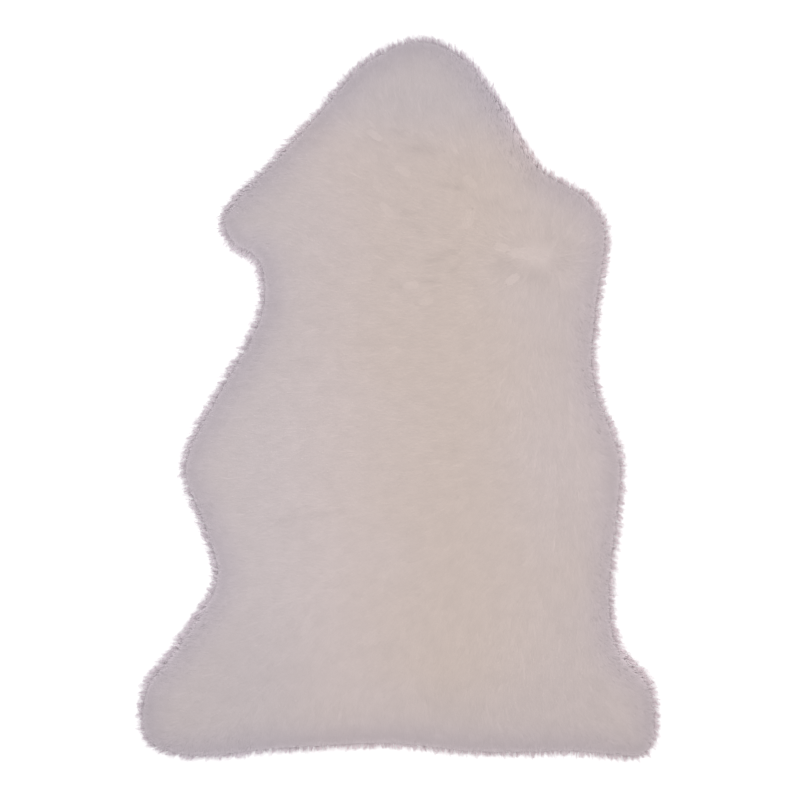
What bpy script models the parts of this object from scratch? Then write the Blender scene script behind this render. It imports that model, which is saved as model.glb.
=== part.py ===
"""A whole sheepskin rug: one pelt with its wool, lying flat on its hide.

Metres, +Z up. +Y runs along the backbone towards the neck. The origin lies under the middle of the
pelt's outline, on the surface that the hide rests on. The pelt is one piece, so it is one solid: a
flat underside, a rounded rim where the wool spills over the hide's edge, and a crown of pile.
"""

import math

import bpy
import numpy as np
from mathutils import Vector, noise
from mathutils.geometry import delaunay_2d_cdt

# Driving dimensions.
PELT_LENGTH = 0.95  # tips of the neck wool to tips of the tail wool
PILE_HEIGHT = 0.044  # hide and pile together, over the back
RIM_HEIGHT = 0.009  # height of the widest line of the wool
RIM_ROUND = 0.050  # distance in from the edge over which the pile reaches its full height
UNDERSIDE_INSET = 0.006  # how far the flat underside stops short of the widest line

# The pile's own unevenness.
SWELL = 0.0022  # height of the broad swells in the pile
SWELL_SIZE = 0.120  # distance over which they rise and fall
LOCK_SWELL = 0.0010  # height of the smaller clumps of locks
LOCK_SIZE = 0.045  # distance over which they rise and fall

# Mesh spacing.
OUTLINE_STEP = 0.0125  # between points round the rim
RIM_RINGS = 6  # rings of points over the rounded rim
BACK_STEP = 0.022  # between points over the back
UNDERSIDE_STEP = 0.060  # between points of the underside
UNDERSIDE_MARGIN = 0.020  # from its edge to the nearest of them
MERGE = 1e-7  # points nearer than this count as one
RING_CLEARANCE = 0.97  # an inset point nearer the edge than this share of its inset is dropped

WOOL_COLOUR = (0.58, 0.50, 0.47)
WOOL_ROUGHNESS = 0.95

# The pelt's outline, round the wool's tips from the nape and down the right side, before it is scaled
# to PELT_LENGTH and centred.
OUTLINE = (
    # place, x, y
    ("nape", 0.028, 0.475),
    ("right of the nape", 0.086, 0.454),
    ("right side of the neck", 0.136, 0.393),
    ("right base of the neck", 0.189, 0.308),
    ("right shoulder", 0.256, 0.264),
    ("right foreleg", 0.279, 0.222),
    ("right armpit", 0.268, 0.118),
    ("top of the right belly", 0.264, 0.030),
    ("right belly", 0.299, -0.080),
    ("right flank", 0.295, -0.160),
    ("right flank hollow", 0.286, -0.245),
    ("right thigh", 0.295, -0.325),
    ("right hind leg", 0.337, -0.375),
    ("right hind foot", 0.344, -0.430),
    ("right tail corner", 0.330, -0.471),
    ("right of the tail edge", 0.230, -0.470),
    ("right of the tail", 0.110, -0.471),
    ("hollow of the tail edge", -0.010, -0.460),
    ("left of the tail edge", -0.145, -0.466),
    ("left tail corner", -0.290, -0.473),
    ("left hind foot", -0.334, -0.448),
    ("left hind leg", -0.336, -0.382),
    ("left thigh", -0.290, -0.318),
    ("left flank hollow", -0.243, -0.236),
    ("left flank", -0.261, -0.165),
    ("left belly", -0.285, -0.092),
    ("top of the left belly", -0.245, 0.000),
    ("below the left armpit", -0.199, 0.078),
    ("left armpit", -0.181, 0.130),
    ("top of the left armpit", -0.189, 0.178),
    ("underside of the left foreleg", -0.219, 0.197),
    ("left foreleg", -0.234, 0.236),
    ("left shoulder", -0.167, 0.313),
    ("left side of the neck", -0.106, 0.379),
    ("left of the nape", -0.046, 0.444),
)
CURVE_STEPS = 24  # samples between two places, before the curve is spaced evenly

# Where the wool stands up in a tuft or parts, on the outline's own axes.
TUFTS = (
    # place, x, y, radius, height
    ("tuft right of the backbone", 0.165, 0.188, 0.030, 0.0030),
    ("ruffled wool between the shoulders", 0.060, 0.185, 0.045, 0.0022),
    ("parting below that tuft", 0.140, 0.160, 0.026, -0.0025),
    ("parting behind the neck", 0.025, 0.325, 0.040, -0.0020),
    ("parting over the left flank", -0.125, -0.145, 0.040, -0.0018),
)


def smooth_loop(places, steps):
    """A closed centripetal Catmull-Rom curve through the places, steps samples between each two."""
    points = np.array(places)
    share = (np.arange(steps) / steps)[:, None]
    stretches = []
    for i in range(len(points)):
        before, start, end, after = (points[(i + k) % len(points)] for k in (-1, 0, 1, 2))
        lead = math.sqrt(np.linalg.norm(start - before))
        span = math.sqrt(np.linalg.norm(end - start))
        trail = math.sqrt(np.linalg.norm(after - end))
        run = end - start
        slope_in = span * ((start - before) / lead - (end - before) / (lead + span)) + run
        slope_out = span * ((after - end) / trail - (after - start) / (span + trail)) + run
        stretches.append(
            (2 * share**3 - 3 * share**2 + 1) * start
            + (share**3 - 2 * share**2 + share) * slope_in
            + (3 * share**2 - 2 * share**3) * end
            + (share**3 - share**2) * slope_out
        )
    return np.concatenate(stretches)


def spaced_evenly(loop, step):
    """The closed loop with its points the same distance apart, about step."""
    closed = np.vstack([loop, loop[:1]])
    lengths = np.linalg.norm(np.diff(closed, axis=0), axis=1)
    along = np.concatenate([[0.0], np.cumsum(lengths)])
    count = round(along[-1] / step)
    wanted = np.arange(count) * along[-1] / count
    return np.column_stack([np.interp(wanted, along, closed[:, k]) for k in (0, 1)])


def pelt_outline():
    """The outline's points, anticlockwise, with the scale and the shift that fit them to the pelt."""
    loop = smooth_loop([(x, y) for _, x, y in reversed(OUTLINE)], CURVE_STEPS)
    scale = PELT_LENGTH / np.ptp(loop[:, 1])
    middle = (loop.max(axis=0) + loop.min(axis=0)) / 2
    return spaced_evenly((loop - middle) * scale, OUTLINE_STEP), scale, middle


def outward_normals(loop):
    along = np.roll(loop, -1, axis=0) - np.roll(loop, 1, axis=0)
    normals = np.column_stack([along[:, 1], -along[:, 0]])
    return normals / np.linalg.norm(normals, axis=1)[:, None]


def distance_to_loop(points, loop):
    """How far each point is from the nearest stretch of the loop."""
    runs = np.roll(loop, -1, axis=0) - loop
    offsets = points[:, None, :] - loop[None, :, :]
    share = (offsets * runs).sum(axis=2) / (runs * runs).sum(axis=1)
    nearest = offsets - np.clip(share, 0.0, 1.0)[:, :, None] * runs
    return np.linalg.norm(nearest, axis=2).min(axis=1)


def inside_loop(points, loop):
    """Which points the loop goes round, by counting the crossings to one side."""
    following = np.roll(loop, -1, axis=0)
    x, y = points[:, :1], points[:, 1:]
    straddles = (loop[:, 1] > y) != (following[:, 1] > y)
    rise = np.where(following[:, 1] == loop[:, 1], 1.0, following[:, 1] - loop[:, 1])
    crossing = loop[:, 0] + (y - loop[:, 1]) * (following[:, 0] - loop[:, 0]) / rise
    return (straddles & (x < crossing)).sum(axis=1) % 2 == 1


def inset_points(loop, inset):
    """The loop moved in by inset, without the points that land too near another stretch of it."""
    points = loop - outward_normals(loop) * inset
    kept = inside_loop(points, loop) & (distance_to_loop(points, loop) >= inset * RING_CLEARANCE)
    return points[kept]


def staggered_grid(loop, step, margin):
    """Points of a staggered grid inside the loop, at least margin from it."""
    low, high = loop.min(axis=0), loop.max(axis=0)
    row_step = step * math.sqrt(3) / 2
    points = [
        (low[0] + step * (column + (row % 2) / 2), low[1] + row_step * row)
        for row in range(1 + int((high[1] - low[1]) / row_step))
        for column in range(1 + int((high[0] - low[0]) / step))
    ]
    points = np.array(points)
    return points[inside_loop(points, loop) & (distance_to_loop(points, loop) > margin)]


def triangulated(loop, inner):
    """Triangles that fill the loop through the inner points: (points, faces), the loop's points first."""
    points = [Vector(p) for p in np.vstack([loop, inner])]
    count = len(loop)
    edges = [(i, (i + 1) % count) for i in range(count)]
    found, _, faces, origins, _, _ = delaunay_2d_cdt(points, edges, [], 1, MERGE)
    places = {new: old[0] for new, old in enumerate(origins) if old}
    order = np.array([places[new] for new in range(len(found))])
    return np.array(points), [[int(order[i]) for i in face] for face in faces]


def pile_height(points, loop, scale, middle):
    """Height of the wool's surface over each point."""
    depth = np.clip(distance_to_loop(points, loop) / RIM_ROUND, 0.0, 1.0)
    rise = np.sqrt(1.0 - (1.0 - depth) ** 2)
    uneven = np.array(
        [
            SWELL * noise.noise((x / SWELL_SIZE, y / SWELL_SIZE, 0.0))
            + LOCK_SWELL * noise.noise((x / LOCK_SIZE, y / LOCK_SIZE, 1.0))
            for x, y in points
        ]
    )
    for _, x, y, radius, height in TUFTS:
        centre = (np.array((x, y)) - middle) * scale
        away = np.linalg.norm(points - centre, axis=1) / radius
        uneven += height * np.exp(-(away**2))
    return RIM_HEIGHT + rise * (PILE_HEIGHT - RIM_HEIGHT + uneven)


def pelt_mesh():
    """One closed mesh: the wool's surface, the turn under its rim and the flat underside."""
    loop, scale, middle = pelt_outline()
    angles = [(k + 1) / RIM_RINGS * math.pi / 2 for k in range(RIM_RINGS)]
    rings = [inset_points(loop, RIM_ROUND * (1.0 - math.cos(angle))) for angle in angles]
    back = staggered_grid(loop, BACK_STEP, RIM_ROUND + BACK_STEP / 2)
    top, top_faces = triangulated(loop, np.vstack([*rings, back]))
    top_heights = pile_height(top, loop, scale, middle)
    top_heights[: len(loop)] = RIM_HEIGHT

    under_loop = loop - outward_normals(loop) * UNDERSIDE_INSET
    under_inner = staggered_grid(under_loop, UNDERSIDE_STEP, UNDERSIDE_MARGIN)
    under, under_faces = triangulated(under_loop, under_inner)

    first_under = len(top)
    points = [(x, y, z) for (x, y), z in zip(top, top_heights)] + [(x, y, 0.0) for x, y in under]
    faces = top_faces + [[first_under + i for i in reversed(face)] for face in under_faces]
    count = len(loop)
    for i in range(count):
        following = (i + 1) % count
        faces.append([following, i, first_under + i])
        faces.append([following, first_under + i, first_under + following])
    mesh = bpy.data.meshes.new("sheepskin")
    mesh.from_pydata(points, [], faces)
    mesh.validate()
    mesh.shade_smooth()
    return mesh


def wool_material():
    material = bpy.data.materials.new("wool")
    material.use_nodes = True
    shader = material.node_tree.nodes["Principled BSDF"]
    shader.inputs["Base Color"].default_value = (*WOOL_COLOUR, 1.0)
    shader.inputs["Roughness"].default_value = WOOL_ROUGHNESS
    shader.inputs["Metallic"].default_value = 0.0
    return material


def main():
    for thing in list(bpy.data.objects):
        bpy.data.objects.remove(thing, do_unlink=True)
    pelt = bpy.data.objects.new("sheepskin", pelt_mesh())
    pelt.data.materials.append(wool_material())
    bpy.context.scene.collection.objects.link(pelt)


main()
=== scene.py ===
"""Sheepskin rug: the hide, the dense underwool and the locks of wool over it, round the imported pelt."""

import math

import bpy
import numpy as np
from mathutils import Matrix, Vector
from mathutils.bvhtree import BVHTree
from mathutils.geometry import delaunay_2d_cdt


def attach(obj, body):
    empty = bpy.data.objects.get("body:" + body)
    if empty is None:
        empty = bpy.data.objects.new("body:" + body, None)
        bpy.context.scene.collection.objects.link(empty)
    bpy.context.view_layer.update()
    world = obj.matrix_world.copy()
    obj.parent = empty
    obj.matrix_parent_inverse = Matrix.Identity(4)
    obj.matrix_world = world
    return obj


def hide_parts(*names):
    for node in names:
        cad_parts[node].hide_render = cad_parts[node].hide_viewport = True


bl_info = {
    "name": "Sheepskin Rug",
    "version": (1, 0, 0),
    "blender": (4, 5, 0),
    "location": "3D View > Sidebar > Sheepskin",
    "description": "Builds a sheepskin rug in long soft wool on the solid of its packed pelt",
    "category": "Add Mesh",
}

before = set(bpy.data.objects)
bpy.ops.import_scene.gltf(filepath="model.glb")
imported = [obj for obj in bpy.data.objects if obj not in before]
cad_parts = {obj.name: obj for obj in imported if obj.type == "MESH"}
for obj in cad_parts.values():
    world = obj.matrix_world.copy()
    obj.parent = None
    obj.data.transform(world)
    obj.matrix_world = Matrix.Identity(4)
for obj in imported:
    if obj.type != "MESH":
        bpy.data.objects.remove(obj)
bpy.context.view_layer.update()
PELT_NODE = "sheepskin"
BODY = "root"

# The floor plan on which the pelt's fields are held.
FIELD_STEP = 0.0025  # between the points of a field
FIELD_MARGIN = 0.030  # how far the fields run on past the pelt
FIELD_END = 1.001  # the last place that is read, back from the number of points, in steps
OUTWARD_BLUR = 6  # passes that smooth the way outwards
SLOPE_BLUR = 3  # passes that smooth the wool's slope
WELD_DIGITS = 6  # decimals of a metre to which two corners of the solid are the same point
LEAST_HEIGHT = 0.0006  # no wool comes nearer to the floor than this
SPILL = 0.020  # distance outside the edge over which the wool's surface would sink to the floor
SNAP_ROUNDS = 3  # passes that move a border's points onto its line
MERGE = 1e-8  # points of a filled border nearer than this count as one
LEAST_LENGTH = 1e-6  # what is divided by a length on the floor plan is divided by this at least
LEAST_VECTOR = 1e-12  # and by this at least where it is a length in space

# Noise and the pattern of locks.
NOISE_CELLS = 64  # cells across the noise lattice, before it repeats
LOCK_CELLS = 128  # cells across the pattern of locks, before it repeats
LOCK_SHIFT = (0.1, 0.9)  # where in its cell a lock's middle may stand
LOCK_SEED = 3  # one pattern of locks for the underwool and the strands

# How the wool takes the light.
STEEPEST = 0.6  # the slope that the wool seems to have where it is upright
SOFT_NORMALS = 0.85  # how far the strands' normals are turned towards the wool's surface
SOFT_FROM = 0.5  # faces that look this squarely up, or more, are turned all that way

# The underwool.
UNDERWOOL_GAP = 0.0003  # between the hide and the underwool
UNDERWOOL_FLOOR_STEP = 0.018  # between the points of its underside
UNDERWOOL_FLOOR_MARGIN = 0.012  # from its foot to the nearest of them
UNDERWOOL_LEVEL = 0.4  # how far up a strand it counts as, for its painted root shade

# The strands over the back, and how they differ.
BACK_SEED = 5  # sets their places and all that differs between them
STEEP_SHARE = 2.2  # how much closer together the strands stand where the wool is steep, at most
LOCK_REACH = (0.8, 0.4)  # the shortest lock's length over a strand's, and how much longer the longest is
STRAND_REACH = (0.7, 1.3)  # a strand's length, over the usual length
LOCK_PULL = (0.10, 0.40)  # how far a strand's tip is drawn to its lock's
MIDDLE_STRAY = 0.0010  # how far a strand's middle strays
ROOT_DEPTHS = (0.7, 1.2)  # a root's depth, over the usual depth
STRAND_WIDTHS = (0.75, 1.25)  # a strand's width, over the usual width
LOCK_TONES = 0.7  # how far the locks' tones lie apart
STRAND_TONES = 0.15  # how far a strand's tone strays from its lock's
LEAST_ROOM = 0.3  # a strand that the edge cuts shorter than this share of its length is left out

# The locks that lie over the wool. Shares are of a lock's length or width.
LAID_DENSITY = 450000  # strands in a square metre
LAID_STARTS = (-0.5, 0.12)  # where its strands begin, from its middle
LAID_REACHES = (0.32, 0.40)  # how long they are
LAID_LAYERS = (0.3, 1.0)  # how high they lie, from the lock's foot to its top
LAID_ENDS = 0.04  # square of the least share of its width that it keeps at its ends
LAID_TONES = 0.25  # how far a strand's tone strays from its lock's
LAID_POINTS = (
    # share along the strand, narrowing towards the lock's middle line, depth below the wool's surface
    (0.0, 0.9, 0.0030),
    (0.5, 0.8, 0.0003),
    (1.0, 0.55, 0.0008),
)

# The rim, and how its locks and strands differ.
RIM_SEED = 9  # sets their places and all that differs between them
HEART_STRAY = 0.35  # how far a lock strays along the edge from its even place, in spaces between locks
ROOT_STRAY = 0.75  # how far a strand's root strays from its lock, in the same
ROOTS_IN = 0.7  # the outermost roots' depth, over the least distance from a root out to the outline
LEAST_FACING = 0.75  # how nearly straight out a lock points, at least, when its reach is worked out
TIP_LAYERS = (0.30, 1.0)  # how high the locks' tips stand, from the floor to the wool's surface
TIP_SCATTER = 0.08  # how far a strand's height strays from its lock's
TIP_DRAWN = (0.6, 0.97)  # how far a strand's tip is drawn to its lock's
LAYER_BIAS = 0.8  # below 1, more strands lie near the surface than near the floor
HAIR_BIAS = 2  # above 1, more hairs end near the outline than far out
BEND_STRAY = 0.0004  # how far a strand's bend strays
RIM_WIDTHS = (0.8, 1.2)  # a strand's width, over the usual width
RIM_STRAND_TONES = 0.5  # how far a strand's tone strays from its lock's
RIM_LOCK_TONES = 0.4  # and how far a lock's strays

# The warm stripe along the backbone.
BACKBONE_X = 0.068  # its middle, halfway along the pelt
BACKBONE_SLOPE = -0.02  # how far it leans to the right for each metre towards the neck
BACKBONE_HALF_WIDTH = 0.190  # where it has faded out, on either side
BACKBONE_WANDER = 0.12  # width of the band that its middle wanders in
NECK_FADE = (0.38, 0.27)  # where it begins below the neck, and where it is full
TAIL_FADE = (-0.44, -0.34)  # where it begins above the tail, and where it is full

# The cooler colours round it: painted shade, darker and cooler, towards the edge, and a cool tint over the
# left side, which is painted cool light, and over the neck.
EDGE_SHADE_BAND = 0.060  # depth in from the edge over which the edge's painted shade gives way to the flanks' colour
LEFT_PAINTED_COOL_LIGHT = (-0.06, -0.20)  # where the painted cool light of the left side begins, and where it is full
NECK_TINT = (0.32, 0.40)  # where the cool tint of the neck begins, and where it is full

# Light and dark in the wool.
BLOTCH = 0.9  # tone of the faint blotches all over
UNDERWOOL_PAINTED_SHADE = 0.95  # painted shade: brightness at the underwool's roots, darker for the shade under the strands, where 1 is as bright as the tips
RIM_PAINTED_LIGHT_BAND = 0.022  # depth in from the edge over which painted light brightens the wool's thin ends, for the light that passes through them and against the shade they cast on each other
RIM_PAINTED_LIGHT = 0.52  # how much brighter that painted light makes them at the very edge
FIBRES = 9.0  # fine fibres side by side in a strand
FIBRE_WAVES = 2.5  # and how often they change along it
FIBRE_TONE = 0.16  # how much lighter the lightest of them are than the darkest
FIBRE_BUMP = 0.00015  # depth of the fibres' relief
FIBRE_APART = 97.0  # sets the fibres of strands of unlike tone apart

# Finishes.
WOOL_ROUGHNESS = 0.85
WOOL_GLOSS = 0.25  # specular level, where 0.5 is that of most plastics
WOOL_SHEEN_ROUGHNESS = 0.5
SUEDE_PATCHES = (0.35, 0.68)  # noise at which the browner patches begin, and at which they are full
SUEDE_NAP = (0.3, 0.7)  # noise at which the nap is smoothest, and at which it is roughest
SUEDE_ROUGHNESS = (0.82, 0.97)  # the suede's roughness at those two
SUEDE_NAP_DEPTH = 0.0004  # depth of the nap's relief
SUEDE_GLOSS = 0.2
SUEDE_SHEEN = 0.3

# The stage.
WHITE = (1.0, 1.0, 1.0, 1.0)
FLOOR_GAP = 0.0003  # between the floor and the underside of the hide
FLOOR_ROUGHNESS = 0.9
LAMP_SIZE = 2.0  # width of the large soft lamp
LAMP_HEIGHT = 3.2  # and its height over the floor
FURTHEST_VIEW = 50.0  # distance past which the camera shows nothing

# Which way the wool lies over the back. Near the edge it turns outwards instead.
COMB = (
    # place, x, y, degrees anticlockwise from the right side
    ("top of the neck", 0.044, 0.464, 92.0),
    ("left of the top", -0.02, 0.445, 118.0),
    ("right of the top", 0.110, 0.425, 98.0),
    ("neck", 0.04, 0.39, 104.0),
    ("left neck edge", -0.085, 0.385, 152.0),
    ("left of the neck", -0.03, 0.34, 142.0),
    ("right neck edge", 0.176, 0.330, 102.0),
    ("right of the neck", 0.11, 0.34, 108.0),
    ("right base of the neck", 0.215, 0.295, 92.0),
    ("behind the neck", 0.03, 0.28, 152.0),
    ("above the tuft", 0.155, 0.25, 105.0),
    ("right shoulder", 0.262, 0.262, 82.0),
    ("left shoulder edge", -0.165, 0.295, 174.0),
    ("left shoulder", -0.12, 0.25, 158.0),
    ("left point", -0.225, 0.232, 186.0),
    ("notch", -0.205, 0.205, 214.0),
    ("between the shoulders", 0.03, 0.19, 170.0),
    ("left of the tuft", 0.115, 0.19, 178.0),
    ("over the left of the tuft", 0.140, 0.214, 128.0),
    ("over the right of the tuft", 0.195, 0.216, 88.0),
    ("under the left of the tuft", 0.140, 0.162, 226.0),
    ("under the right of the tuft", 0.190, 0.160, 276.0),
    ("right of the tuft", 0.230, 0.19, 25.0),
    ("left ribs edge", -0.190, 0.125, 182.0),
    ("left ribs", -0.11, 0.10, 180.0),
    ("backbone", 0.03, 0.08, 188.0),
    ("inner right ribs", 0.12, 0.08, 200.0),
    ("below the tuft", 0.175, 0.12, 262.0),
    ("right ribs", 0.205, 0.05, 286.0),
    ("right ribs edge", 0.265, 0.07, 2.0),
    ("left belly slope", -0.23, 0.0, 184.0),
    ("left belly edge", -0.280, -0.095, 178.0),
    ("left belly", -0.18, -0.09, 188.0),
    ("left loin", -0.07, -0.06, 190.0),
    ("loin", 0.04, -0.06, 192.0),
    ("right loin", 0.14, -0.08, 210.0),
    ("inner right belly", 0.21, -0.06, 278.0),
    ("right belly edge", 0.292, -0.042, 10.0),
    ("lower right belly edge", 0.298, -0.115, 338.0),
    ("left flank edge", -0.255, -0.187, 160.0),
    ("left flank", -0.16, -0.20, 194.0),
    ("middle of the rump", 0.0, -0.20, 204.0),
    ("right flank", 0.14, -0.19, 230.0),
    ("inner right flank", 0.21, -0.19, 262.0),
    ("right flank edge", 0.280, -0.190, 322.0),
    ("left thigh", -0.19, -0.31, 206.0),
    ("rump", -0.03, -0.31, 224.0),
    ("right rump", 0.11, -0.30, 242.0),
    ("right thigh", 0.21, -0.31, 270.0),
    ("right thigh edge", 0.292, -0.325, 324.0),
    ("left leg slope", -0.285, -0.335, 196.0),
    ("left leg edge", -0.335, -0.42, 190.0),
    ("left leg", -0.26, -0.40, 212.0),
    ("left foot", -0.235, -0.470, 236.0),
    ("left of the tail", -0.13, -0.43, 252.0),
    ("tail", 0.03, -0.44, 274.0),
    ("right of the tail", 0.16, -0.44, 286.0),
    ("right leg", 0.27, -0.40, 304.0),
    ("right foot", 0.325, -0.455, 306.0),
    ("right leg edge", 0.336, -0.395, 328.0),
)
COMB_REACH = 0.045  # how far each place in the table reaches
COMB_SPILL = 1e-6  # weight that every place keeps, however far away
TURN_OUT = 0.040  # depth in from the edge at which the wool starts to turn outwards
EDGE_OUTWARD = 0.30  # how much of its direction points straight out at the edge
SWIRLS = (
    # furthest turn in radians, size, seed
    (0.26, 0.055, 11),
    (0.18, 0.022, 12),
)

# Locks that lie over the even wool.
LAID_LOCKS = (
    # place, x, y, length, width, degrees, tone, rise
    ("pale tuft by the right shoulder", 0.169, 0.188, 0.064, 0.018, 176.0, 1.5, 0.0022),
    ("pale lock at its left end", 0.134, 0.196, 0.026, 0.014, 165.0, 1.1, 0.0010),
    ("pale lock under its left end", 0.148, 0.155, 0.026, 0.013, 215.0, 1.2, 0.0010),
    ("pale lock on the backbone", 0.091, 0.232, 0.034, 0.016, 70.0, 1.1, 0.0010),
    ("pale lock on the withers", 0.006, 0.295, 0.030, 0.012, 150.0, 1.0, 0.0008),
    ("pale lock right of the withers", 0.094, 0.281, 0.028, 0.012, 135.0, 1.0, 0.0008),
    ("pale lock left of the withers", -0.015, 0.245, 0.030, 0.011, 130.0, 1.0, 0.0008),
    ("pale lock behind the neck", -0.031, 0.342, 0.030, 0.011, 148.0, 0.9, 0.0008),
    ("pale lock between the shoulders", 0.017, 0.147, 0.026, 0.013, 185.0, 0.9, 0.0008),
    ("pale lock over the ribs", 0.036, 0.126, 0.024, 0.012, 185.0, 0.8, 0.0008),
)

# Partings between the locks, darkened with painted shade, and broad patches of painted shade and painted light
# that stand in for soft dents and swells.
PARTINGS = (
    # place, x, y, length, width, degrees, tone (painted shade below 0, painted light above 0), lift
    ("shade under the pale tuft", 0.134, 0.173, 0.028, 0.024, 235.0, -1.3, -0.0005),
    ("shade below the pale tuft", 0.168, 0.159, 0.056, 0.026, 178.0, -1.2, -0.0003),
    ("shade right of the pale tuft", 0.213, 0.186, 0.032, 0.034, 176.0, -0.7, 0.0),
    ("parting on the backbone", 0.058, 0.186, 0.046, 0.013, 202.0, -1.4, -0.0005),
    ("end of that parting", 0.075, 0.169, 0.020, 0.010, 222.0, -1.2, -0.0004),
    ("parting behind the neck", 0.030, 0.323, 0.048, 0.014, 174.0, -1.3, -0.0005),
    ("parting left behind the neck", -0.026, 0.334, 0.026, 0.008, 145.0, -1.3, -0.0004),
    ("short parting behind the neck", 0.001, 0.345, 0.020, 0.008, 150.0, -1.1, -0.0004),
    ("parting right of the withers", 0.070, 0.275, 0.036, 0.011, 172.0, -1.4, -0.0005),
    ("parting over the right shoulder", 0.121, 0.254, 0.034, 0.009, 168.0, -1.3, -0.0004),
    ("parting above the tuft", 0.155, 0.242, 0.034, 0.011, 172.0, -0.8, -0.0003),
    ("parting over the shoulders", 0.018, 0.240, 0.032, 0.009, 176.0, -1.0, -0.0004),
    ("slanting parting over the shoulders", 0.026, 0.219, 0.026, 0.009, 140.0, -1.2, -0.0004),
    ("parting between the shoulders", 0.041, 0.152, 0.024, 0.009, 178.0, -1.3, -0.0004),
    ("parting left of it", -0.004, 0.145, 0.022, 0.009, 190.0, -1.1, -0.0004),
    ("parting over the left flank", -0.122, -0.154, 0.112, 0.009, 189.0, -1.1, -0.0005),
    ("broad shade along the tail", 0.0, -0.425, 0.800, 0.110, 0.0, -0.6, 0.0),
    ("broad shade right of the tail", 0.200, -0.420, 0.400, 0.140, 0.0, -0.6, 0.0),
    ("broad shade down the right shoulder", 0.210, 0.145, 0.260, 0.050, 90.0, -0.7, 0.0),
    ("broad shade down the right flank", 0.240, -0.240, 0.300, 0.080, 90.0, -0.5, 0.0),
    ("broad shade over the neck", 0.030, 0.370, 0.140, 0.160, 0.0, -0.4, 0.0),
    ("broad pale patch over the left belly", -0.165, -0.140, 0.320, 0.220, 90.0, 0.8, 0.0),
)


def smooth_step(low, high, value):
    share = np.clip((value - low) / (high - low), 0.0, 1.0)
    return share * share * (3.0 - 2.0 * share)


def unit(x, y):
    """Directions on the floor plan, at unit length."""
    reach = np.maximum(np.hypot(x, y), LEAST_LENGTH)
    return x / reach, y / reach


def unit_vectors(vectors):
    """Directions in space, at unit length. Their parts lie along the last axis."""
    return vectors / np.maximum(np.linalg.norm(vectors, axis=-1, keepdims=True), LEAST_VECTOR)


def turned(lie_x, lie_y, angle):
    """Directions turned anticlockwise by angles in radians."""
    return lie_x * np.cos(angle) - lie_y * np.sin(angle), lie_x * np.sin(angle) + lie_y * np.cos(angle)


def heading(degrees):
    """The direction on the floor plan that lies this far anticlockwise from the right side."""
    return math.cos(math.radians(degrees)), math.sin(math.radians(degrees))


def soft_noise(x, y, size, seed):
    """Smooth noise from -1 to 1 over the floor plan, with its swells about size apart."""
    lattice = np.random.default_rng(seed).uniform(-1.0, 1.0, (NOISE_CELLS, NOISE_CELLS))
    u = x / size + NOISE_CELLS / 2
    v = y / size + NOISE_CELLS / 2
    column, row = np.floor(u).astype(int), np.floor(v).astype(int)
    u, v = smooth_step(0.0, 1.0, u - column), smooth_step(0.0, 1.0, v - row)
    column, row = column % NOISE_CELLS, row % NOISE_CELLS
    after, above = (column + 1) % NOISE_CELLS, (row + 1) % NOISE_CELLS
    low = lattice[column, row] * (1 - u) + lattice[after, row] * u
    high = lattice[column, above] * (1 - u) + lattice[after, above] * u
    return low * (1 - v) + high * v


def nearest_lock(x, y, spacing, seed):
    """The lock that each point belongs to: its middle, the distance to it and a number of its own."""
    rng = np.random.default_rng(seed)
    shifts = rng.uniform(*LOCK_SHIFT, (LOCK_CELLS, LOCK_CELLS, 2))
    numbers = rng.uniform(0.0, 1.0, (LOCK_CELLS, LOCK_CELLS))
    column, row = np.floor(x / spacing).astype(int), np.floor(y / spacing).astype(int)
    best = np.full(x.shape, np.inf)
    middle_x, middle_y, number = np.zeros(x.shape), np.zeros(x.shape), np.zeros(x.shape)
    for across in (-1, 0, 1):
        for up in (-1, 0, 1):
            i, j = column + across, row + up
            at = (i % LOCK_CELLS, j % LOCK_CELLS)
            lock_x = (i + shifts[at][:, 0]) * spacing
            lock_y = (j + shifts[at][:, 1]) * spacing
            away = np.hypot(x - lock_x, y - lock_y)
            nearer = away < best
            best = np.where(nearer, away, best)
            middle_x = np.where(nearer, lock_x, middle_x)
            middle_y = np.where(nearer, lock_y, middle_y)
            number = np.where(nearer, numbers[at], number)
    return middle_x, middle_y, best, number


def blurred(field, rounds):
    """A field with each value made the mean of itself and its four neighbours, over and over."""
    for _ in range(rounds):
        padded = np.pad(field, 1, mode="edge")
        field = (padded[:-2, 1:-1] + padded[2:, 1:-1] + padded[1:-1, :-2] + padded[1:-1, 2:] + field) / 5
    return field


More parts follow.
